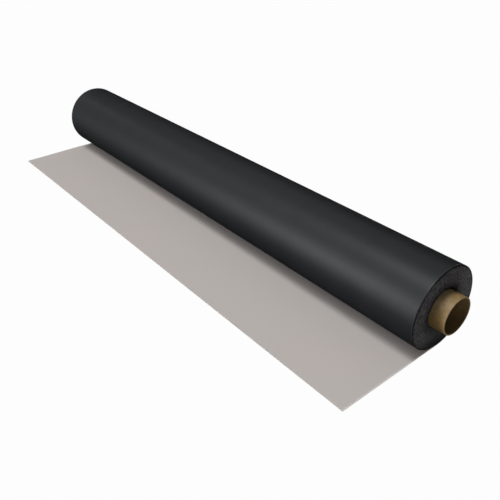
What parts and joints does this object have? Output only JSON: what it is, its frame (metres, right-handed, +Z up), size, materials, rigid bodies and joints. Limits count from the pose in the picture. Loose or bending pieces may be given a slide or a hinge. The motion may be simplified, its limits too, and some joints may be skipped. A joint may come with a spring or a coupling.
{
  "type": "roll of pvc roofing membrane",
  "caption": "Roll of thick roofing sheet wound on a cardboard tube, lying on its side with the free end of the sheet unrolled flat on the floor.",
  "frame": {"origin": "on the floor, below the middle of the bounding box of the roll and its unrolled end", "axes": "+X along the roll, +Y away from the unrolled end of the sheet, +Z up"},
  "size_m": [1.724, 0.4178, 0.2156],
  "materials": {
    "membrane": "matt calendered pvc, dark grey outside and light warm grey inside",
    "cardboard": "plain brown spiral-wound paper"
  },
  "bodies": {
    "root": {"membrane_roll": "membrane", "core_tube": "cardboard"}
  },
  "joints": []
}
